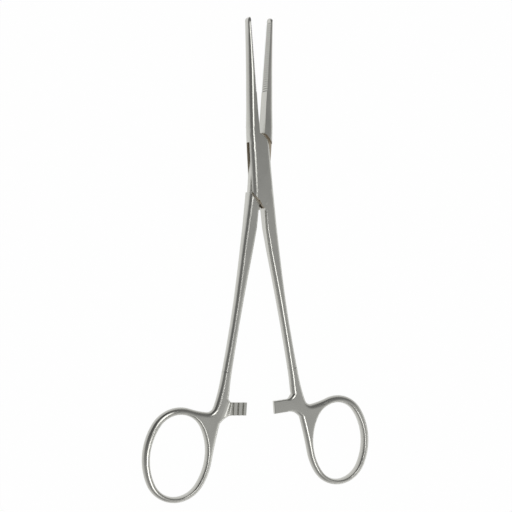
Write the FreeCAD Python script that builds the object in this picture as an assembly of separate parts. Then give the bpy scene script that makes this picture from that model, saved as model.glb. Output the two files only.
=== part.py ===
import FreeCAD, Part
import math
import os

# Hemostat forceps, straight, 180 mm long when closed, millimetres.
# Three real pieces: the box half, the tongue half that passes through it, and the flush pivot pin.
# Each half is drawn in the closed position, where the two inner jaw faces meet on x = 0,
# and is then turned about the pin to the slightly open position in which it lies on a table.
# +Y runs to the jaw tips, +X to the finger ring of the box half, +Z up along the pin.

Vec = FreeCAD.Vector

# Driving sizes.
OPEN_HALF_ANGLE = 4.1
BOX_HALF_THICKNESS = 3.0
TONGUE_HALF_THICKNESS = 1.2
SLOT_CLEARANCE = 0.05
SEAM_CLEARANCE = 0.12
JAW_FACE_X = 0.05
JAW_TIP_Y = 55.9
SHANK_FACE_X = 0.12
PIN_RADIUS = 1.5
PIN_HEAD_RADIUS = 2.1
PIN_HEAD_DEPTH = 0.8
PIN_RUNNING_CLEARANCE = 0.03

# Serrations across the outer part of each jaw face.
SERRATION_PITCH = 0.87
SERRATION_DEPTH = 0.32
SERRATION_COUNT = 30
SERRATION_START_Y = 28.6
# Share of the pitch that stays flat between two grooves.
SERRATION_LAND = 0.1

# Finger ring, an oval of four arcs, and its opening: centre, half width, half height, end radius.
# Both lean by a small angle, in degrees, with their lower ends outwards.
RING_LEAN = 1.4
HANDLE_HALF_THICKNESS = 1.8
RING_CENTRE = (25.5, -106.6)
RING_OUTER = (13.55, 17.4, 12.3)
RING_OPENING_CENTRE = (25.4, -106.9)
RING_OPENING = (10.8, 15.0, 9.2)
# Rounded outer edge of the handle, as one wide bevel whose two ridges are bevelled once more.
RIM_BEVEL = 0.85
RIM_RIDGE_BEVEL = 0.25
RING_OPENING_EDGE = 0.7
# Web between the shank and the ring: where its sides leave the ring, in degrees, and what they pass.
WEB_LOWER_LEAVE = 186.0
WEB_UPPER_LEAVE = 465.0
WEB_LOWER_SIDE = [(9.95, -96.2), (8.3, -91.0), (6.66, -83.2), (6.30, -76.0)]
WEB_UPPER_SIDE = [(15.2, -91.0), (12.5, -89.2), (11.0, -83.3), (9.85, -76.0)]
JOIN_STEP = 0.03

# Ratchet arm: half of the handle's thickness, with three teeth on its inner side.
RATCHET_TOP_Y = -87.5
RATCHET_BOTTOM_Y = -92.3
RATCHET_END_X = -1.1
RATCHET_GAP = 0.04
RATCHET_EDGE = 0.3
# The arm widens into the web from this place, along a curve above and a curve below.
FLARE_START_X = 4.4
UPPER_FLARE = [(6.35, RATCHET_TOP_Y + 0.85), (7.2, RATCHET_TOP_Y + 3.3)]
LOWER_FLARE = [(8.6, RATCHET_BOTTOM_Y - 1.5), (10.9, RATCHET_BOTTOM_Y - 4.6)]
TOOTH_COUNT = 3
TOOTH_PITCH = 2.0
TOOTH_DEPTH = 0.9
TOOTH_CREST = 0.25
TOOTH_LEAN = 0.12

# Cross sections of the jaw: place along Y, outer side, half thickness, width of the outer rounding.
JAW_SECTIONS = [
    (9.0, 3.98, BOX_HALF_THICKNESS, 1.90),
    (14.0, 3.92, 2.84, 1.90),
    (21.0, 3.50, 2.48, 1.95),
    (32.0, 2.80, 2.33, 1.95),
    (44.0, 1.95, 2.06, 1.45),
    (JAW_TIP_Y, 1.20, 1.75, 0.80),
]
# Height of the jaw's rounding for each millimetre of its width.
JAW_ROUNDING_HEIGHT = 1.2
# Rounding of the jaw tip: across the jaw and along it.
JAW_TIP_ROUNDING = (1.05, 1.8)
# Cross sections of the box: place along Y, half width, half thickness.
BOX_SECTIONS = [
    (13.6, 3.86, 2.80),
    (9.0, 3.98, BOX_HALF_THICKNESS),
    (0.0, 4.13, BOX_HALF_THICKNESS),
    (-9.0, 4.36, BOX_HALF_THICKNESS),
    (-15.5, 4.55, 2.70),
]
BOX_ROUNDING = 2.0
# Half width of the tongue, whose flanks show between the plates.
TONGUE_HALF_WIDTH = 3.85
# Cross sections of the shank: place along Y, inner side, outer side, half thickness, and the rounding
# of the inner and of the outer side.
SHANK_SECTIONS = [
    (-4.0, SHANK_FACE_X, 4.18, 2.90, 0.90, 1.80),
    (-11.0, SHANK_FACE_X, 4.42, 2.90, 0.90, 1.80),
    (-15.5, SHANK_FACE_X, 4.62, 2.74, 0.90, 1.75),
    (-22.0, 0.20, 4.98, 2.42, 1.00, 1.65),
    (-31.0, 1.02, 5.58, 2.12, 1.35, 1.60),
    (-46.0, 2.92, 6.58, 2.00, 1.65, 1.65),
    (-61.0, 4.76, 7.94, 1.90, 1.50, 1.50),
    (WEB_LOWER_SIDE[-1][1] - 1.0, 6.42, 9.95, HANDLE_HALF_THICKNESS - JOIN_STEP, 1.50, 1.50),
]

# Number of evenly spaced sections through which each form is drawn.
JAW_STATIONS = 8
BOX_STATIONS = 5
SHANK_STATIONS = 9

# Seams of the lock, on the box half in the closed position.
UPPER_SEAM = [(-JAW_FACE_X, 12.9), (0.9, 12.4), (4.3, 8.9), (7.0, 6.1)]
LOWER_SEAM = [(SHANK_FACE_X, -14.7), (-0.75, -14.0), (-1.8, -11.8), (-4.6, -8.8), (-7.0, -6.3)]
# Ends of the slot, which clear the tongue, and the tongue's own slanted sides.
SLOT_UPPER_END = [(-9.0, 9.9), (-2.25, 9.9), (-0.80, 13.2), (-JAW_FACE_X, 13.7)]
SLOT_LOWER_END = [(9.0, -9.9), (2.25, -9.9), (0.62, -14.0), (SHANK_FACE_X, -15.0)]
TONGUE_UPPER_SIDE = [(-9.0, 3.6), (-4.6, 3.6), (-0.60, 12.9), (JAW_FACE_X, 13.3)]
TONGUE_LOWER_SIDE = [(9.0, -3.6), (4.6, -3.6), (0.40, -13.6), (-SHANK_FACE_X, -14.8)]
OUTSIDE = 2 * BOX_SECTIONS[-1][1]
LOCK_TOP_Y = 16.5
LOCK_BOTTOM_Y = -17.5

# How far a cutting tool runs on beyond the metal.
OVERRUN = 1.0
# Lengths below this count as nothing when edges are picked.
TOUCHING = 0.001
# Share of a corner's side at which a cubic curve comes nearest to a quarter of an ellipse.
QUARTER = 0.5523


def corner(start, apex, end):
    """A rounded corner between two sides that meet at the apex."""
    curve = Part.BezierCurve()
    curve.setPoles([start, start + (apex - start) * QUARTER, end + (apex - end) * QUARTER, end])
    return curve.toShape()


def section(y, inner, outer, half, outer_round, inner_round=None):
    """A cross section in the plane at y. Each rounding is a width and a height, and none is a sharp edge."""
    corners = []
    for x, z, side, rounding in (
        (inner, -half, 1, inner_round),
        (outer, -half, -1, outer_round),
        (outer, half, -1, outer_round),
        (inner, half, 1, inner_round),
    ):
        apex = Vec(x, y, z)
        if rounding is None:
            corners.append((apex, apex, apex))
            continue
        along_x = Vec(x + side * rounding[0], y, z)
        along_z = Vec(x, y, z - math.copysign(rounding[1], z))
        corners.append((along_x, apex, along_z))
    low_in, low_out, top_out, top_in = corners
    ways_round = [low_in[::-1], low_out, top_out[::-1], top_in]
    edges = []
    for number, bend in enumerate(ways_round):
        if bend[0] != bend[2]:
            edges.append(corner(*bend))
        edges.append(Part.makeLine(bend[2], ways_round[(number + 1) % 4][0]))
    return Part.Wire(edges)


def even_stations(table, count):
    """The rows of a table of sections, read off at even steps along a smooth curve through them."""
    rows = []
    first, last = table[0][0], table[-1][0]
    for number in range(count):
        y = first + (last - first) * number / (count - 1)
        left = 0
        while left < len(table) - 2 and (y - table[left + 1][0]) * (last - first) > 0:
            left += 1
        span = table[left + 1][0] - table[left][0]
        share = (y - table[left][0]) / span
        row = [y]
        for column in range(1, len(table[0])):
            start, end = table[left][column], table[left + 1][column]
            first_slope = slope(table, left, column) * span
            last_slope = slope(table, left + 1, column) * span
            bend = first_slope + last_slope - 2 * (end - start)
            lean = 3 * (end - start) - 2 * first_slope - last_slope
            row.append(start + share * (first_slope + share * (lean + share * bend)))
        rows.append(row)
    return rows


def slope(table, index, column):
    """The slope of one column of a table of sections at a row, from the rows beside it."""
    low = max(index - 1, 0)
    high = min(index + 1, len(table) - 1)
    before = table[index][column] - table[low][column]
    after = table[high][column] - table[index][column]
    if low < index < high and before * after <= 0:
        return 0.0
    return (before + after) / (table[high][0] - table[low][0])


def prism(points, low, high):
    """An upright prism over a closed outline."""
    corners = [Vec(x, y, low) for x, y in points]
    return Part.Face(Part.makePolygon(corners + corners[:1])).extrude(Vec(0, 0, high - low))


def jaw():
    """One jaw on the +X side: flat inner face, rounded back, rounded tip."""
    wires = []
    for y, outer, half, rounding in even_stations(JAW_SECTIONS, JAW_STATIONS):
        wires.append(section(y, JAW_FACE_X, outer, half, (rounding, rounding * JAW_ROUNDING_HEIGHT)))
    body = Part.makeLoft(wires, True, True)
    width, half = JAW_SECTIONS[-1][1:3]
    return body.cut([tip_waste(width, "back"), tip_waste(half, "top"), tip_waste(half, "underside")])


def tip_waste(width, side):
    """What is ground away beyond the rounded tip: at its back, on its top or on its underside."""
    start = JAW_TIP_Y - JAW_TIP_ROUNDING[1]
    beyond = JAW_TIP_Y + OVERRUN
    inner = width - JAW_TIP_ROUNDING[0]
    far = 3 * width
    reach = 2 * BOX_HALF_THICKNESS
    lay = {
        "back": lambda across, along: Vec(across, along, -reach),
        "top": lambda across, along: Vec(-OVERRUN, along, across),
        "underside": lambda across, along: Vec(-OVERRUN, along, -across),
    }[side]
    way = Vec(0, 0, 2 * reach) if side == "back" else Vec(reach, 0, 0)
    outline = Part.Wire([
        corner(lay(inner, JAW_TIP_Y), lay(width, JAW_TIP_Y), lay(width, start)),
        Part.makeLine(lay(width, start), lay(far, start)),
        Part.makeLine(lay(far, start), lay(far, beyond)),
        Part.makeLine(lay(far, beyond), lay(inner, beyond)),
        Part.makeLine(lay(inner, beyond), lay(inner, JAW_TIP_Y)),
    ])
    return Part.Face(outline).extrude(way)


def serration_grooves(offset):
    """Sharp grooves across the inner face of the +X jaw, shifted along it by the offset."""
    grooves = []
    clear = 0.5 * SERRATION_DEPTH
    half_width = 0.5 * (1 - SERRATION_LAND) * SERRATION_PITCH * (SERRATION_DEPTH + clear) / SERRATION_DEPTH
    reach = BOX_HALF_THICKNESS + OVERRUN
    for number in range(SERRATION_COUNT):
        y = SERRATION_START_Y + offset + number * SERRATION_PITCH
        outline = [(JAW_FACE_X - clear, y - half_width), (JAW_FACE_X + SERRATION_DEPTH, y),
                   (JAW_FACE_X - clear, y + half_width)]
        grooves.append(prism(outline, -reach, reach))
    return Part.makeCompound(grooves)


def shank():
    """The shank of the +X side, from the lock down to the handle."""
    wires = []
    for y, inner, outer, half, inner_round, outer_round in even_stations(SHANK_SECTIONS, SHANK_STATIONS):
        wires.append(section(y, inner, outer, half, (outer_round, outer_round), (inner_round, inner_round)))
    return Part.makeLoft(wires, True, True)


def box_block():
    """The full width of the lock, with rounded sides."""
    size = (BOX_ROUNDING, BOX_ROUNDING)
    rows = even_stations(BOX_SECTIONS, BOX_STATIONS)
    wires = [section(y, -width, width, half, size, size) for y, width, half in rows]
    return Part.makeLoft(wires, True, True)


def arcs_through(start, way, stops):
    """A chain of arcs in plan that leaves the start along its way and passes each stop without a kink."""
    arcs = []
    for x, y in stops:
        stop = Vec(x, y, 0)
        chord = stop - start
        along = chord / chord.Length
        across = Vec(-along.y, along.x, 0)
        bulge = 0.5 * chord.Length * way.dot(across) / (1 + way.dot(along))
        arcs.append(Part.Arc(start, start + chord * 0.5 + across * bulge, stop).toShape())
        way = along * (2 * way.dot(along)) - way
        start = stop
    return arcs


def way_at(angle):
    """The direction in plan at an angle in degrees, leaning with the ring."""
    turn = math.radians(angle + RING_LEAN)
    return Vec(math.cos(turn), math.sin(turn), 0)


def oval(centre, sizes, first=None, last=None):
    """An oval of four tangent arcs, whole, or anticlockwise from one angle to another."""
    width, height, end_radius = sizes
    rise = height - end_radius
    side_radius = (rise ** 2 + width ** 2 - end_radius ** 2) / (2 * (width - end_radius))
    reach = side_radius - width
    change = math.degrees(math.atan2(rise, reach))
    if first is None:
        first, last = -change, 360 - change
    arcs = []
    for half_turn in range(3):
        turn = 180 * half_turn
        spans = [
            (way_at(turn) * -reach, side_radius, turn - change, turn + change),
            (way_at(turn + 90) * rise, end_radius, turn + change, turn + 180 - change),
        ]
        for shift, radius, start, end in spans:
            start, end = max(start, first), min(end, last)
            if start < end:
                middle = Vec(*centre, 0) + shift
                places = [middle + way_at(angle) * radius for angle in (start, 0.5 * (start + end), end)]
                arcs.append(Part.Arc(*places).toShape())
    return arcs


def handle():
    """Lower end of the shank, web and finger ring in one outline, rounded on both faces."""
    ring = oval(RING_CENTRE, RING_OUTER, WEB_LOWER_LEAVE, WEB_UPPER_LEAVE)
    lower = arcs_through(ring[0].Vertexes[0].Point, way_at(WEB_LOWER_LEAVE - 90), WEB_LOWER_SIDE)
    upper = arcs_through(ring[-1].Vertexes[-1].Point, way_at(WEB_UPPER_LEAVE + 90), WEB_UPPER_SIDE)
    top = Part.makeLine(Vec(*WEB_LOWER_SIDE[-1], 0), Vec(*WEB_UPPER_SIDE[-1], 0))
    outline = Part.Wire(Part.__sortEdges__(ring + lower + upper + [top]))
    half = HANDLE_HALF_THICKNESS
    body = Part.Face(outline).extrude(Vec(0, 0, 2 * half))
    body.translate(Vec(0, 0, -half))
    rims = [edge for edge in body.Edges if is_flat_rim(edge) and not is_straight_cut(edge)]
    body = body.makeChamfer(RIM_BEVEL, rims)
    ridges = [edge for edge in body.Edges if is_flat_rim(edge) and not is_straight_cut(edge)]
    ridges += [edge for edge in body.Edges if is_level(edge, HANDLE_HALF_THICKNESS - RIM_BEVEL)]
    body = body.makeChamfer(RIM_RIDGE_BEVEL, ridges)
    opening = Part.Face(Part.Wire(oval(RING_OPENING_CENTRE, RING_OPENING)))
    opening = opening.extrude(Vec(0, 0, 4 * half))
    opening.translate(Vec(0, 0, -2 * half))
    body = body.cut(opening)
    rims = [edge for edge in body.Edges if is_flat_rim(edge) and edge.distToShape(opening)[0] < TOUCHING]
    return body.makeChamfer(RING_OPENING_EDGE, rims)


def is_level(edge, height):
    """True for an edge that stays at one height above or below the middle plane."""
    box = edge.BoundBox
    return box.ZLength < TOUCHING and abs(abs(box.ZMin) - height) < TOUCHING


def is_flat_rim(edge):
    """True for an edge that runs along one of the handle's two flat faces."""
    return is_level(edge, HANDLE_HALF_THICKNESS)


def is_straight_cut(edge):
    """True for an edge at the place where the handle meets the shank."""
    return edge.BoundBox.YLength < TOUCHING and abs(edge.BoundBox.YMin - WEB_LOWER_SIDE[-1][1]) < TOUCHING


def ratchet_arm():
    """The half-thickness arm with its teeth, as it stands on the +X half, teeth facing down."""
    top, bottom, end = RATCHET_TOP_Y, RATCHET_BOTTOM_Y, RATCHET_END_X
    upper = [Vec(FLARE_START_X, top, 0)] + [Vec(x, y, 0) for x, y in UPPER_FLARE]
    lower = [Vec(FLARE_START_X, bottom, 0)] + [Vec(x, y, 0) for x, y in LOWER_FLARE]
    outline = Part.Wire([
        Part.makeLine(Vec(end, top, 0), upper[0]),
        Part.Arc(*upper).toShape(),
        Part.makeLine(upper[-1], lower[-1]),
        Part.Arc(*lower[::-1]).toShape(),
        Part.makeLine(lower[0], Vec(end, bottom, 0)),
        Part.makeLine(Vec(end, bottom, 0), Vec(end, top, 0)),
    ])
    height = HANDLE_HALF_THICKNESS - RATCHET_GAP
    body = Part.Face(outline).extrude(Vec(0, 0, height))
    body.translate(Vec(0, 0, RATCHET_GAP))
    rims = [edge for edge in body.Edges if is_flat_rim(edge) and not is_buried(edge)]
    body = body.makeChamfer(RATCHET_EDGE, rims)
    low = -RATCHET_GAP
    for number in range(TOOTH_COUNT):
        crest = end + TOOTH_CREST + number * TOOTH_PITCH
        next_crest = crest + TOOTH_PITCH - TOOTH_CREST
        gullet = [(crest, low), (next_crest, low), (next_crest, RATCHET_GAP),
                  (crest + TOOTH_LEAN, RATCHET_GAP + TOOTH_DEPTH), (crest, RATCHET_GAP)]
        corners = [Vec(x, bottom - OVERRUN, z) for x, z in gullet]
        length = top - bottom + 2 * OVERRUN
        tool = Part.Face(Part.makePolygon(corners + corners[:1])).extrude(Vec(0, length, 0))
        body = body.cut(tool)
    return body


def is_buried(edge):
    """True for the edge of the ratchet arm that lies inside the web."""
    return edge.BoundBox.XMin > UPPER_FLARE[-1][0] - TOUCHING


def full_half():
    """Everything that one half can reach on the +X handle side, before the lock is cut."""
    opposite_jaw = jaw().mirror(Vec(0, 0, 0), Vec(1, 0, 0))
    body = box_block().fuse([opposite_jaw, shank(), handle(), ratchet_arm()])
    return body.removeSplitter()


def moved(points, shift_x, shift_y):
    """A copy of a seam, moved across the running gap."""
    return [(x + shift_x, y + shift_y) for x, y in points]


def lock_regions(gap):
    """Plan areas outside the two seams, which belong to the tongue half, moved out by the gap."""
    slant = gap * math.sqrt(0.5)
    upper = moved(UPPER_SEAM, slant, slant)
    lower = moved(LOWER_SEAM, -slant, -slant)
    upper = [(upper[0][0], LOCK_TOP_Y)] + upper + [(OUTSIDE, upper[-1][1]), (OUTSIDE, LOCK_TOP_Y)]
    lower = [(lower[0][0], LOCK_BOTTOM_Y)] + lower + [(-OUTSIDE, lower[-1][1]), (-OUTSIDE, LOCK_BOTTOM_Y)]
    return upper, lower


def box_half():
    """The half with the unbroken outer plates, slotted for the tongue."""
    body = full_half()
    reach = BOX_HALF_THICKNESS + OVERRUN
    for region in lock_regions(0.0):
        body = body.cut(prism(region, -reach, reach))
    slot = SLOT_UPPER_END + [(-JAW_FACE_X, LOCK_TOP_Y), (OUTSIDE, LOCK_TOP_Y)]
    slot += SLOT_LOWER_END + [(SHANK_FACE_X, LOCK_BOTTOM_Y), (-OUTSIDE, LOCK_BOTTOM_Y)]
    slot_half = TONGUE_HALF_THICKNESS + SLOT_CLEARANCE
    body = body.cut(prism(slot, -slot_half, slot_half))
    grooves = serration_grooves(0.0).mirror(Vec(0, 0, 0), Vec(1, 0, 0))
    body = body.cut(grooves)
    return body.cut(pivot_pin())


def tongue_half():
    """The half whose thin middle passes through the slot. Its arms mirror those of the box half."""
    body = full_half().mirror(Vec(0, 0, 0), Vec(1, 0, 0))
    body = body.mirror(Vec(0, 0, 0), Vec(0, 0, 1))
    reach = BOX_HALF_THICKNESS + OVERRUN
    sides = TONGUE_UPPER_SIDE + [(JAW_FACE_X, LOCK_TOP_Y), (-OUTSIDE, LOCK_TOP_Y)]
    body = body.cut(prism(sides, -reach, reach))
    sides = TONGUE_LOWER_SIDE + [(-SHANK_FACE_X, LOCK_BOTTOM_Y), (OUTSIDE, LOCK_BOTTOM_Y)]
    body = body.cut(prism(sides, -reach, reach))
    upper, lower = lock_regions(SEAM_CLEARANCE)
    keep = Part.makeCompound([prism(upper, -reach, reach), prism(lower, -reach, reach)])
    length = LOCK_TOP_Y - LOCK_BOTTOM_Y
    plates = Part.makeBox(2 * OUTSIDE, length, reach, Vec(-OUTSIDE, LOCK_BOTTOM_Y, TONGUE_HALF_THICKNESS))
    plates = plates.cut(keep)
    body = body.cut(plates)
    body = body.cut(plates.mirror(Vec(0, 0, 0), Vec(0, 0, 1)))
    for side in (TONGUE_HALF_WIDTH, -TONGUE_HALF_WIDTH - OUTSIDE):
        flank = Part.makeBox(OUTSIDE, length, 2 * reach, Vec(side, LOCK_BOTTOM_Y, -reach))
        body = body.cut(flank.cut(keep))
    body = body.cut(serration_grooves(SERRATION_PITCH / 2))
    bore = Part.makeCylinder(PIN_RADIUS + PIN_RUNNING_CLEARANCE, 2 * reach, Vec(0, 0, -reach))
    return body.cut(bore)


def pivot_pin():
    """The pin, with both ends swollen into the plates and finished flush with them."""
    half = BOX_HALF_THICKNESS
    neck = half - PIN_HEAD_DEPTH
    profile = [(0, -half), (PIN_HEAD_RADIUS, -half), (PIN_RADIUS, -neck),
               (PIN_RADIUS, neck), (PIN_HEAD_RADIUS, half), (0, half)]
    corners = [Vec(x, 0, z) for x, z in profile]
    outline = Part.Face(Part.makePolygon(corners + corners[:1]))
    return outline.revolve(Vec(0, 0, 0), Vec(0, 0, 1), 360)


def placed(body, turn):
    """Turn a half about the pin and raise it, so that the underside of the box is at z = 0."""
    body.rotate(Vec(0, 0, 0), Vec(0, 0, 1), turn)
    body.translate(Vec(0, 0, BOX_HALF_THICKNESS))
    return body


def largest_solid(body):
    """The one forging, without any loose crumb that a cut has left."""
    return max(body.Solids, key=lambda solid: solid.Volume)


os.makedirs("parts", exist_ok=True)
pieces = {
    "box_half": placed(largest_solid(box_half()), OPEN_HALF_ANGLE),
    "tongue_half": placed(largest_solid(tongue_half()), -OPEN_HALF_ANGLE),
    "pivot_pin": placed(pivot_pin(), 0.0),
}
for name, solid in pieces.items():
    solid.exportStep("parts/" + name + ".step")
    print(name, "valid", solid.isValid(), "solids", len(solid.Solids), "volume", round(solid.Volume, 1))
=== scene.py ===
# Hemostat forceps lying open a little on a white table, seen from above and from the left.
import math

import bmesh
import bpy
from mathutils import Euler, Matrix, Vector
from mathutils.geometry import tessellate_polygon


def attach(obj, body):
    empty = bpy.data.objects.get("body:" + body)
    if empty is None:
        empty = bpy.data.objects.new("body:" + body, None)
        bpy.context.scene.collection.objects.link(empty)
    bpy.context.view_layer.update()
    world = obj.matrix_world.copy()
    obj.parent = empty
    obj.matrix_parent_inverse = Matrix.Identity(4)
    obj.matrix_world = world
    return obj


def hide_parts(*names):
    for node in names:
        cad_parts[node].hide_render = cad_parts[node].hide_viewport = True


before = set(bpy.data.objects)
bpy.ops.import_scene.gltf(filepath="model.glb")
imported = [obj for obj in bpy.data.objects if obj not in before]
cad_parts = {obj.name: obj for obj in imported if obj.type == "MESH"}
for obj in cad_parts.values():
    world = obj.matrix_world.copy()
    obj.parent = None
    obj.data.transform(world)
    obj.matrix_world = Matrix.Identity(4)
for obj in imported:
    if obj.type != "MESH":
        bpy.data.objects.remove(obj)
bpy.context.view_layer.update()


# The box half: one steel forging with the left jaw, the outer plates of the lock, and the right ring.
# It is drop forged, blasted with fine beads to an even satin, and milled at the lock and the jaw face.
# Lock, jaw and shank are the frame's own mesh. Ring, web and ratchet arm are built again, finer and rounder.
class Socket:
    """One output of a shader node, with arithmetic that adds Math nodes."""

    def __init__(self, tree, output):
        self.tree = tree
        self.output = output

    def node(self, kind, settings=None, **values):
        """Adds a node to the same tree: first its settings, then a value or a link for each named input.

        An underscore in a name stands for a space, and i6 is the input with the number 6.
        """
        made = self.tree.nodes.new(kind)
        for name, value in (settings or {}).items():
            if name == "stops":
                set_stops(made.color_ramp, value)
            else:
                setattr(made, name, value)
        for name, value in values.items():
            key = int(name[1:]) if name[0] == "i" and name[1:].isdigit() else name.replace("_", " ")
            if isinstance(value, Socket):
                self.tree.links.new(value.output, made.inputs[key])
            else:
                made.inputs[key].default_value = value
        return made

    def out(self, made, name=0):
        """An output of a node in the same tree, by its name or number."""
        return Socket(self.tree, made.outputs[name])

    def feed(self, made, name):
        """Links this socket to an input of a node."""
        self.tree.links.new(self.output, made.inputs[name])

    def maths(self, operation, *values):
        """The output of a Math node on the values."""
        made = self.node("ShaderNodeMath", {"operation": operation},
                         **{f"i{number}": value for number, value in enumerate(values)})
        return self.out(made)

    def blend(self, first, second):
        """The first colour where this factor is 0, and the second where it is 1."""
        made = self.node("ShaderNodeMix", {"data_type": "RGBA"}, i0=self, i6=first, i7=second)
        return self.out(made, 2)

    def __add__(self, other):
        return self.maths("ADD", self, other)

    def __radd__(self, other):
        return self.maths("ADD", other, self)

    def __rsub__(self, other):
        return self.maths("SUBTRACT", other, self)

    def __mul__(self, other):
        return self.maths("MULTIPLY", self, other)

    def __rmul__(self, other):
        return self.maths("MULTIPLY", other, self)


def set_stops(ramp, stops):
    """Gives a colour ramp its stops, each a place and a colour."""
    while len(ramp.elements) > 1:
        ramp.elements.remove(ramp.elements[-1])
    ramp.elements[0].position = stops[0][0]
    ramp.elements[0].color = stops[0][1]
    for place, colour in stops[1:]:
        ramp.elements.new(place).color = colour


STEEL_COLOUR = (0.605, 0.603, 0.563, 1.0)
STEEL_SHADE = (0.54, 0.538, 0.502, 1.0)
STEEL_ROUGHNESS = 0.17
# Clouds about 7 mm wide change the tone, and a grain of 0.1 to 0.2 mm breaks up the gloss.
CLOUD_SCALE = 140.0
GRAIN_SCALE = 5200.0
CLOUD_ROUGHNESS = 0.06
GRAIN_ROUGHNESS = 0.05
GRAIN_STRENGTH = 0.08
GRAIN_HEIGHT = 0.00002
SEED_STEP = (0.137, 0.071, 0.053)


def satin_steel(name, seed, colour=STEEL_COLOUR, shade=STEEL_SHADE, roughness=STEEL_ROUGHNESS, metallic=1.0):
    """Stainless steel with a fine grain and slight clouding. The seed moves the pattern on each piece."""
    material = bpy.data.materials.new(name)
    material.use_nodes = True
    tree = material.node_tree
    shader = tree.nodes["Principled BSDF"]
    place = Socket(tree, tree.nodes.new("ShaderNodeTexCoord").outputs["Object"])
    start = tuple(seed * step for step in SEED_STEP)
    moved = place.out(place.node("ShaderNodeMapping", None, Vector=place, Location=start))
    clouds = place.node("ShaderNodeTexNoise", None, Vector=moved, Scale=CLOUD_SCALE,
                        Detail=3.0, Roughness=0.55)
    clouds = place.out(clouds, "Fac")
    grain = place.node("ShaderNodeTexNoise", None, Vector=moved, Scale=GRAIN_SCALE,
                       Detail=2.0, Roughness=0.6)
    grain = place.out(grain, "Fac")
    clouds.blend(shade, colour).feed(shader, "Base Color")
    rough = roughness + CLOUD_ROUGHNESS * clouds + GRAIN_ROUGHNESS * grain
    rough.feed(shader, "Roughness")
    shader.inputs["Metallic"].default_value = metallic
    bump = place.node("ShaderNodeBump", None, Height=grain, Strength=GRAIN_STRENGTH, Distance=GRAIN_HEIGHT)
    place.out(bump).feed(shader, "Normal")
    return material


# Sizes of a half in millimetres, in its own closed position: jaw along +Y, ring towards +X, the middle of
# its thickness at z = 0. The tongue half is the same shape turned over about the Y axis.
MM = 0.001
OPEN_TURN = math.radians(4.1)
LOCK_HALF = 3.0
HANDLE_HALF = 1.8
HANDLE_TOP_Y = -75.95
RING_LEAN = 1.4
RING_CENTRE = Vector((25.5, -106.6))
RING_OUTER = (13.55, 17.4, 12.3)
OPENING_CENTRE = Vector((25.4, -106.9))
OPENING = (10.8, 15.0, 9.2)
WEB_LEAVES_RING = (186, 465)
WEB_LOWER_SIDE = [(9.95, -96.2), (8.3, -91.0), (6.66, -83.2), (6.30, -76.0)]
WEB_UPPER_SIDE = [(15.2, -91.0), (12.5, -89.2), (11.0, -83.3), (9.85, -76.0)]


def eased(value, start, length):
    """Rises softly from 0 to 1 while the value goes from the start over the length."""
    share = min(max((value - start) / length, 0.0), 1.0)
    return share * share * (3 - 2 * share)


def way_at(angle):
    """The direction in plan at an angle in degrees, leaning with the ring."""
    turn = math.radians(angle + RING_LEAN)
    return Vector((math.cos(turn), math.sin(turn)))


def oval_point(centre, sizes, angle):
    """The point of a four-arc oval whose outward direction is at the angle."""
    width, height, end_radius = sizes
    rise = height - end_radius
    side_radius = (rise ** 2 + width ** 2 - end_radius ** 2) / (2 * (width - end_radius))
    change = math.degrees(math.atan2(rise, side_radius - width))
    side_turn = 180 * math.floor((angle + change) / 180)
    if angle + change - side_turn < 2 * change:
        return centre + way_at(side_turn) * (width - side_radius) + way_at(angle) * side_radius
    return centre + way_at(side_turn + 90) * rise + way_at(angle) * end_radius


def arcs_through(start, way, stops, steps):
    """Points of a chain of arcs that leaves the start along its way and passes each stop without a kink."""
    points = []
    for stop in stops:
        chord = Vector(stop) - start
        bend = math.atan2(way.x * chord.y - way.y * chord.x, way.dot(chord))
        for step in range(1, steps + 1):
            part = bend * step / steps
            length = chord.length * math.sin(part) / math.sin(bend)
            points.append(start + length * Vector((way.x * math.cos(part) - way.y * math.sin(part),
                                                   way.x * math.sin(part) + way.y * math.cos(part))))
        way = Vector((way.x * math.cos(2 * bend) - way.y * math.sin(2 * bend),
                      way.x * math.sin(2 * bend) + way.y * math.cos(2 * bend)))
        start = Vector(stop)
    return points


def nearest(point, others):
    """How far the point is from the closest of the others."""
    return min((point - other).length for other in others)


WALL_STEPS = 9


def rounded_wall(work, outline, inward, widths, straights, closed):
    """A wall that follows an outline and rounds over into the flat faces above and below it.

    Each place has the width of its rounding and half the height of its straight middle.
    """
    columns = []
    for place, way, width, straight in zip(outline, inward, widths, straights):
        upper = []
        for step in range(WALL_STEPS + 1):
            turn = 0.5 * math.pi * step / WALL_STEPS
            spot = place + way * width * (1 - math.cos(turn))
            upper.append((spot.x, spot.y, straight + (HANDLE_HALF - straight) * math.sin(turn)))
        whole = upper[::-1] + [(x, y, -z) for x, y, z in upper]
        columns.append([work.verts.new(spot) for spot in whole])
    pairs = list(zip(columns, columns[1:]))
    if closed:
        pairs.append((columns[-1], columns[0]))
    for first, second in pairs:
        for row in range(len(first) - 1):
            work.faces.new((first[row], first[row + 1], second[row + 1], second[row]))
    return columns


# Steps along the ring in degrees, and along each arc of the web.
RING_STEP = 3
OPENING_STEP = 4
WEB_STEPS = 6
# The outer rounding takes up to 62 percent of the rail and the opening's up to 36, beside a narrow crown.
CROWN = 0.06
OUTER_ROUNDING = 1.8
OUTER_SHARE = 0.62
OPENING_ROUNDING = 1.1
OPENING_SHARE = 0.36
# Up the web, the outer rounding eases into the shank's, which has a straight middle.
SHANK_ROUNDING = 1.5
SHANK_STRAIGHT = 0.3
EASE_START_Y = -88.0
EASE_LENGTH = 12.0


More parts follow.
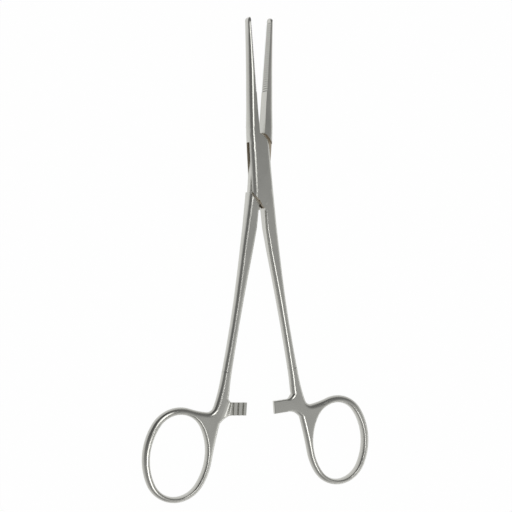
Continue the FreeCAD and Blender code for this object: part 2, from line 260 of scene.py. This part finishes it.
def ring_and_web(work):
    """The finger ring with its web, round in section at the ring and easing into the shank's section."""
    first, last = WEB_LEAVES_RING
    start, stop = (oval_point(RING_CENTRE, RING_OUTER, angle) for angle in (first, last))
    lower = arcs_through(start, way_at(first - 90), WEB_LOWER_SIDE, WEB_STEPS)
    upper = arcs_through(stop, way_at(last + 90), WEB_UPPER_SIDE, WEB_STEPS)
    middle = [oval_point(RING_CENTRE, RING_OUTER, first + RING_STEP * step)
              for step in range(1, (last - first) // RING_STEP)]
    outline = lower[::-1] + [start] + middle + [stop] + upper
    angles = range(0, 360, OPENING_STEP)
    hole = [oval_point(OPENING_CENTRE, OPENING, angle) for angle in angles]
    inward = []
    for number in range(len(outline)):
        way = outline[min(number + 1, len(outline) - 1)] - outline[max(number - 1, 0)]
        inward.append(Vector((-way.y, way.x)).normalized())
    widths = []
    straights = []
    for place in outline:
        share = eased(place.y, EASE_START_Y, EASE_LENGTH)
        width = min(OUTER_ROUNDING, OUTER_SHARE * (nearest(place, hole) - CROWN))
        widths.append(width + (SHANK_ROUNDING - width) * share)
        straights.append(SHANK_STRAIGHT * share)
    outer = rounded_wall(work, outline, inward, widths, straights, False)
    hole_ways = [way_at(angle) for angle in angles]
    hole_widths = [min(OPENING_ROUNDING, OPENING_SHARE * (nearest(place, outline) - CROWN)) for place in hole]
    inner = rounded_wall(work, hole, hole_ways, hole_widths, [0.0] * len(hole), True)
    work.faces.new(outer[0] + outer[-1][::-1])
    for row in (0, -1):
        rims = [[column[row] for column in columns] for columns in (outer, inner)]
        corners = rims[0] + rims[1]
        for triangle in tessellate_polygon([[corner.co for corner in rim] for rim in rims]):
            work.faces.new([corners[number] for number in triangle])


ARM_TOP_Y = -87.5
ARM_BOTTOM_Y = -92.3
ARM_END_X = -1.1
# The crests of the teeth clear the middle plane by the gap, and the arm's back lies just inside the web's.
ARM_GAP = 0.04
ARM_SINK = 0.004
# The tip is thinner: its back lies lower, and its toothed face lies in by a share of a tooth's depth.
TIP_DROP = 0.2
TIP_SHARE = 0.62
# A ratchet tooth: a short flat crest, a steep step, and a long slope up to the next crest.
TOOTH_COUNT = 3
TOOTH_PITCH = 2.0
TOOTH_DEPTH = 0.45
CREST_END = 0.15
STEP_END = 0.27
SLOPE_PLACE = 0.9
# The arm has a row of corners at each of these places, up to where it widens into the web.
FLARE_START_X = 4.4
TOOTH_ROWS = [tooth * TOOTH_PITCH + along for tooth in range(TOOTH_COUNT)
              for along in (0.0, CREST_END, STEP_END, SLOPE_PLACE)]
STRAIGHT_ROWS = [ARM_END_X, -0.9, -0.5] + [x for x in TOOTH_ROWS if x < FLARE_START_X]
# In the flare, the toothed face runs out to the web's face on a soft ramp.
UPPER_FLARE = [(6.5, -86.6), (7.5, -83.4)]
LOWER_FLARE = [(8.6, -93.9), (11.2, -97.2)]
FLARE_STEPS = 5
RAMP_START_X = 4.8
RAMP_LENGTH = 2.0
RAMP_RISE = 1.83
# The arm's edges are rounded by this much, and by so much more after some rows of the flare.
ARM_ROUNDING = 0.4
FLARE_ROUNDING = 1.1
FLARE_ROWS = 6
# The toothed face's own edges stay nearly sharp, and are rounded by so much more along the ramp.
TOOTH_ROUNDING = 0.03
RAMP_ROUNDING = 1.4
QUARTER_TURN = (0.0, 0.31, 0.63, 0.94, 1.26, 1.5708)


def tooth_depth(x):
    """How far the toothed face of the ratchet arm lies inside the arm, at a place along it."""
    if x < 0:
        return TOOTH_DEPTH * TIP_SHARE * (x / ARM_END_X)
    along = x % TOOTH_PITCH
    if x > TOOTH_COUNT * TOOTH_PITCH or along < CREST_END:
        return 0.0
    if along < STEP_END:
        return TOOTH_DEPTH * (along - CREST_END) / (STEP_END - CREST_END)
    return TOOTH_DEPTH * (TOOTH_PITCH - along) / (TOOTH_PITCH - STEP_END)


def ratchet_arm(work):
    """The half-thickness arm with three ratchet teeth, flaring into the web at its root."""
    upper = [Vector((x, ARM_TOP_Y)) for x in STRAIGHT_ROWS + [FLARE_START_X]]
    lower = [Vector((x, ARM_BOTTOM_Y)) for x in STRAIGHT_ROWS + [FLARE_START_X]]
    upper += arcs_through(upper[-1], Vector((1, 0)), UPPER_FLARE, FLARE_STEPS)
    lower += arcs_through(lower[-1], Vector((1, 0)), LOWER_FLARE, FLARE_STEPS)
    rings = []
    for number, place in enumerate(upper):
        ramp = eased(place.x, RAMP_START_X, RAMP_LENGTH)
        low = ARM_GAP + tooth_depth(place.x) - RAMP_RISE * ramp
        low_ease = TOOTH_ROUNDING + RAMP_ROUNDING * ramp
        grown = min(max((number - len(STRAIGHT_ROWS) + 1) / FLARE_ROWS, 0.0), 1.0)
        ease = ARM_ROUNDING + FLARE_ROUNDING * grown
        top = HANDLE_HALF - ARM_SINK - (TIP_DROP if number == 0 else 0.0)
        corners = []
        for edge, hand in ((upper, 1), (lower, -1)):
            way = edge[min(number + 1, len(edge) - 1)] - edge[max(number - 1, 0)]
            inward = hand * Vector((way.y, -way.x)).normalized()
            half = []
            for turn in QUARTER_TURN[::-1]:
                spot = edge[number] + inward * low_ease * (1 - math.cos(turn))
                half.append((spot.x, spot.y, low + low_ease * (1 - math.sin(turn))))
            for turn in QUARTER_TURN:
                spot = edge[number] + inward * ease * (1 - math.cos(turn))
                half.append((spot.x, spot.y, top - ease * (1 - math.sin(turn))))
            corners += half[::hand]
        rings.append([work.verts.new(corner) for corner in corners])
    for first, second in zip(rings, rings[1:]):
        for number, corner in enumerate(first):
            after = (number + 1) % len(first)
            work.faces.new((corner, first[after], second[after], second[number]))
    work.faces.new(rings[0])
    work.faces.new(rings[-1])


# The shoulders and the slot of the lock get a duller, darker, brownish steel. This is painted shade where the
# seams and the slot lie in shade between the parts, and on the tongue it shows only in the window above the
# pin.
LOCK_REACH = 17.5
SLOT_REACH = 9.95
SLOT_HALF = 1.3
WINDOW_END = 0.5
LOCK_PAINTED_SHADE_PALE = (0.52, 0.455, 0.355, 1.0)
LOCK_PAINTED_SHADE_DEEP = (0.42, 0.367, 0.285, 1.0)
# One side of each groove of the jaw face gets a dark steel, as painted shade.
SERRATIONS_START = 28.0
GROOVE_DEPTH = 0.45
GROOVE_PAINTED_SHADE_PALE = (0.15, 0.147, 0.135, 1.0)
GROOVE_PAINTED_SHADE_DEEP = (0.10, 0.098, 0.09, 1.0)
# How much of a face's normal may point up on an upright face, and how much has to point along the jaw.
SLANT = 0.3


def finish_or_painted_shade_of(face, back, side):
    """The number of a face's material: 0 for satin, 1 for painted shade in the lock, 2 for painted shade on
    one side of a groove.
    """
    centre = back @ face.calc_center_median() / MM
    way = back.to_3x3() @ face.normal
    thickness = max(abs((back @ corner.co).z) for corner in face.verts) / MM
    upright = abs(way.z) < SLANT
    # Painted shade: the upright side of each groove that faces along +Y is darkened.
    if upright and way.y > SLANT and centre.y > SERRATIONS_START and abs(centre.x) < GROOVE_DEPTH:
        return 2
    # Painted shade: the upright seam walls and slot ends of the lock are darkened.
    if upright and abs(way.y) > SLANT and abs(centre.y) < LOCK_REACH:
        return 1
    # Painted shade: faces in the slot's thin middle are darkened, on the tongue only in the window above the
    # pin.
    in_slot = thickness < SLOT_HALF and abs(centre.y) < SLOT_REACH
    return 1 if in_slot and (side > 0 or centre.y > WINDOW_END) else 0


# Corners this close are one: in metres on a frame mesh and at its cut, in millimetres on what is built here.
FRAME_MERGE = 0.000001
CUT_MERGE = 0.0000001
BUILT_MERGE = 0.0001
HARD_EDGE = math.radians(28)


def shade_softly(work):
    """Smooth faces, with a hard edge wherever two faces meet at a clear angle."""
    for face in work.faces:
        face.smooth = True
    for edge in work.edges:
        edge.smooth = len(edge.link_faces) == 2 and edge.calc_face_angle(math.pi) < HARD_EDGE


def merged_copy(node, name):
    """A copy of a frame node's mesh under a new name, and the same as loose work with its doubles merged."""
    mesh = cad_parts[node].data.copy()
    mesh.name = name
    work = bmesh.new()
    work.from_mesh(mesh)
    bmesh.ops.remove_doubles(work, verts=work.verts, dist=FRAME_MERGE)
    return mesh, work


def new_piece(name, mesh):
    """An object with the mesh, put into the scene at the origin."""
    piece = bpy.data.objects.new(name, mesh)
    bpy.context.scene.collection.objects.link(piece)
    return piece


def forging(node, name, satin_and_painted_shades, side):
    """One half: lock, jaw and shank as the frame has them, and the finer ring, web and ratchet arm."""
    place = Matrix.Rotation(side * OPEN_TURN, 4, "Z")
    if side < 0:
        place = place @ Matrix.Rotation(math.pi, 4, "Y")
    place = Matrix.Translation((0, 0, LOCK_HALF * MM)) @ place
    mesh, work = merged_copy(node, name)
    cut = bmesh.ops.bisect_plane(
        work, geom=work.verts[:] + work.edges[:] + work.faces[:], dist=CUT_MERGE,
        plane_co=place @ Vector((0, HANDLE_TOP_Y * MM, 0)),
        plane_no=place.to_3x3() @ Vector((0, -1, 0)), clear_outer=True)
    cut_edges = [part for part in cut["geom_cut"] if isinstance(part, bmesh.types.BMEdge)]
    bmesh.ops.holes_fill(work, edges=cut_edges)
    work.to_mesh(mesh)
    work.free()
    for build in (ring_and_web, ratchet_arm):
        extra = bmesh.new()
        build(extra)
        bmesh.ops.remove_doubles(extra, verts=extra.verts, dist=BUILT_MERGE)
        bmesh.ops.transform(extra, matrix=place @ Matrix.Scale(MM, 4), verts=extra.verts)
        bmesh.ops.recalc_face_normals(extra, faces=extra.faces)
        extra.from_mesh(mesh)
        extra.to_mesh(mesh)
        extra.free()
    work = bmesh.new()
    work.from_mesh(mesh)
    shade_softly(work)
    back = place.inverted()
    for face in work.faces:
        face.material_index = finish_or_painted_shade_of(face, back, side)
    mesh.materials.clear()
    for finish in satin_and_painted_shades:
        mesh.materials.append(finish)
    work.to_mesh(mesh)
    work.free()
    piece = new_piece(name, mesh)
    shading = piece.modifiers.new("even_flats", "WEIGHTED_NORMAL")
    shading.mode = "FACE_AREA_WITH_ANGLE"
    shading.keep_sharp = True
    return piece


satin_box = satin_steel("satin_steel_box_half", 1.0)
# Painted shade for the lock's seams and slot: a darker brownish steel with little metal.
shade_paint_lock = satin_steel("painted_lock_shade_steel", 4.0, LOCK_PAINTED_SHADE_PALE, LOCK_PAINTED_SHADE_DEEP, roughness=0.42, metallic=0.3)
# Painted shade for one side of each groove of the jaw face.
shade_paint_groove = satin_steel("painted_groove_shade_steel", 5.0, GROOVE_PAINTED_SHADE_PALE, GROOVE_PAINTED_SHADE_DEEP, roughness=0.25)
box_forging = forging("box_half", "box_half_forging", (satin_box, shade_paint_lock, shade_paint_groove), 1)
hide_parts("box_half")
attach(box_forging, "box_side")


# The tongue half: the second forging, with the right jaw, the left ring and the visible ratchet teeth.
# It is the same satin steel, and its thin middle passes through the slot of the box half.
satin_tongue = satin_steel("satin_steel_tongue_half", 2.0)
tongue_forging = forging("tongue_half", "tongue_half_forging", (satin_tongue, shade_paint_lock, shade_paint_groove), -1)
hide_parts("tongue_half")
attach(tongue_forging, "tongue_side")


# The pivot pin: a steel rivet whose ends are swollen into the plates and ground flush with them.
# It was finished together with the box half, so only a hairline shows round it.
rivet_mesh, work = merged_copy("pivot_pin", "pivot_rivet")
shade_softly(work)
work.to_mesh(rivet_mesh)
work.free()
rivet_mesh.materials.clear()
rivet_mesh.materials.append(satin_steel("satin_steel_pivot_pin", 3.0))
rivet = new_piece("pivot_rivet", rivet_mesh)
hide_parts("pivot_pin")
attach(rivet, "box_side")


# The table: a wide white sheet under the forceps. It looks plain white to the camera and in the steel,
# a little less where the steel mirrors it at a flat angle, and keeps a faint shadow of the forceps.
SHEET_HALF = 2.0
SHEET_WHITE = 0.985
FLAT_ANGLE_LOSS = 0.6
PAPER_COLOUR = (0.8, 0.8, 0.8, 1.0)
floor_mesh = bpy.data.meshes.new("table_sheet")
sheet_corners = [(-SHEET_HALF, -SHEET_HALF, 0), (SHEET_HALF, -SHEET_HALF, 0),
                 (SHEET_HALF, SHEET_HALF, 0), (-SHEET_HALF, SHEET_HALF, 0)]
floor_mesh.from_pydata(sheet_corners, [], [(0, 1, 2, 3)])
sheet_material = bpy.data.materials.new("white_table")
sheet_material.use_nodes = True
tree = sheet_material.node_tree
tree.nodes.clear()
rays = tree.nodes.new("ShaderNodeLightPath")
camera_ray = Socket(tree, rays.outputs["Is Camera Ray"])
glossy_ray = Socket(tree, rays.outputs["Is Glossy Ray"])
seen = camera_ray.maths("MAXIMUM", camera_ray, glossy_ray)
seen = seen.maths("MAXIMUM", seen, Socket(tree, rays.outputs["Is Transmission Ray"]))
flat_angle = seen.out(seen.node("ShaderNodeLayerWeight", None, Blend=0.5), "Facing")
white_share = seen * (1.0 - flat_angle * glossy_ray * FLAT_ANGLE_LOSS) * SHEET_WHITE
paper = seen.out(seen.node("ShaderNodeBsdfDiffuse", None, Color=PAPER_COLOUR))
glow = seen.out(seen.node("ShaderNodeEmission", None, Strength=1.0))
mixed = seen.out(seen.node("ShaderNodeMixShader", None, i0=white_share, i1=paper, i2=glow))
mixed.feed(tree.nodes.new("ShaderNodeOutputMaterial"), "Surface")
floor_mesh.materials.append(sheet_material)
floor = new_piece("table_sheet", floor_mesh)


# The light: a studio with a pale left horizon, a dark side behind the camera and a bright right horizon.
# Two long narrow strip lamps overhead draw the bright line along every rounded shoulder.
# A stop's place is the angle round the long axis: 0 at the left horizon, 0.5 overhead, 1 at the right one.
STUDIO_GREYS = [
    (0.00, 0.40), (0.05, 0.31), (0.12, 0.25), (0.25, 0.22), (0.42, 0.215), (0.50, 0.28),
    (0.60, 0.32), (0.637, 0.36), (0.66, 0.41), (0.92, 0.47), (0.965, 1.30), (1.00, 1.50),
]
WINDOW_LEVEL = 1.07
WINDOW_SLOPE = 1.5
WINDOW_LIMITS = (0.5, 1.6)
PLAIN_WHITE = (1.0, 1.0, 1.0, 1.0)
world = bpy.data.worlds.new("studio")
bpy.context.scene.world = world
world.use_nodes = True
tree = world.node_tree
direction = Socket(tree, tree.nodes.new("ShaderNodeTexCoord").outputs["Generated"])
apart = direction.node("ShaderNodeSeparateXYZ", None, Vector=direction)
round_axis = direction.maths("ARCTAN2", direction.out(apart, "Z"), -1.0 * direction.out(apart, "X"))
round_axis = round_axis * (1.0 / math.pi)
stops = [(place, (level, level, level, 1.0)) for place, level in STUDIO_GREYS]
walls = direction.out(direction.node("ShaderNodeValToRGB", {"stops": stops}, Fac=round_axis))
# The studio is brighter towards the rings, where its window is.
window = WINDOW_LEVEL - WINDOW_SLOPE * direction.out(apart, "Y")
window = window.maths("MINIMUM", window, WINDOW_LIMITS[1])
window = window.maths("MAXIMUM", window, WINDOW_LIMITS[0])
walls = direction.out(direction.node("ShaderNodeVectorMath", {"operation": "SCALE"}, i0=walls, Scale=window))
# The camera sees plain white behind the table's edge.
camera_ray = Socket(tree, tree.nodes.new("ShaderNodeLightPath").outputs["Is Camera Ray"])
background = tree.nodes["Background"]
camera_ray.blend(walls, PLAIN_WHITE).feed(background, "Color")
background.inputs["Strength"].default_value = 1.0

STRIP_LEAN = math.radians(-5.0)
STRIP_HEIGHT = 1.0
# Each strip: its name, where it starts and ends along Y, its width and its power.
STRIPS = [("front_strip", -0.16, -0.80, 0.30, 1.7), ("back_strip", 0.02, 0.70, 0.48, 2.3)]
for name, first, last, width, power in STRIPS:
    strip = bpy.data.lights.new(name, "AREA")
    strip.shape = "RECTANGLE"
    strip.size = width
    strip.size_y = abs(last - first)
    strip.energy = power
    strip_lamp = bpy.data.objects.new(name, strip)
    strip_lamp.location = (STRIP_HEIGHT * math.sin(STRIP_LEAN), (first + last) / 2,
                           STRIP_HEIGHT * math.cos(STRIP_LEAN))
    strip_lamp.rotation_euler = Euler((0.0, STRIP_LEAN, 0.0))
    bpy.context.scene.collection.objects.link(strip_lamp)


# The camera: above the forceps and to their left, 420 mm from the lock by the photograph's perspective.
# Its place, lens and three small turns come from fitting the outline of the forceps to the photograph.
CAMERA_PLACE = Vector((-174.85, -18.86, 381.35)) * MM
CAMERA_LENS = 78.48
CAMERA_LEAN = 0.4297
CAMERA_PITCH = -0.0330
CAMERA_ROLL = 0.0027
camera_data = bpy.data.cameras.new("camera")
camera_data.sensor_width = 36.0
camera_data.lens = CAMERA_LENS
camera_data.clip_start = 0.01
camera = bpy.data.objects.new("camera", camera_data)
bpy.context.scene.collection.objects.link(camera)
turn = Matrix.Rotation(CAMERA_ROLL, 4, "Z") @ Matrix.Rotation(-CAMERA_PITCH, 4, "X")
turn = turn @ Matrix.Rotation(CAMERA_LEAN, 4, "Y")
camera.matrix_world = Matrix.Translation(CAMERA_PLACE) @ turn.inverted()
bpy.context.scene.camera = camera

bpy.context.scene.view_settings.view_transform = "Standard"
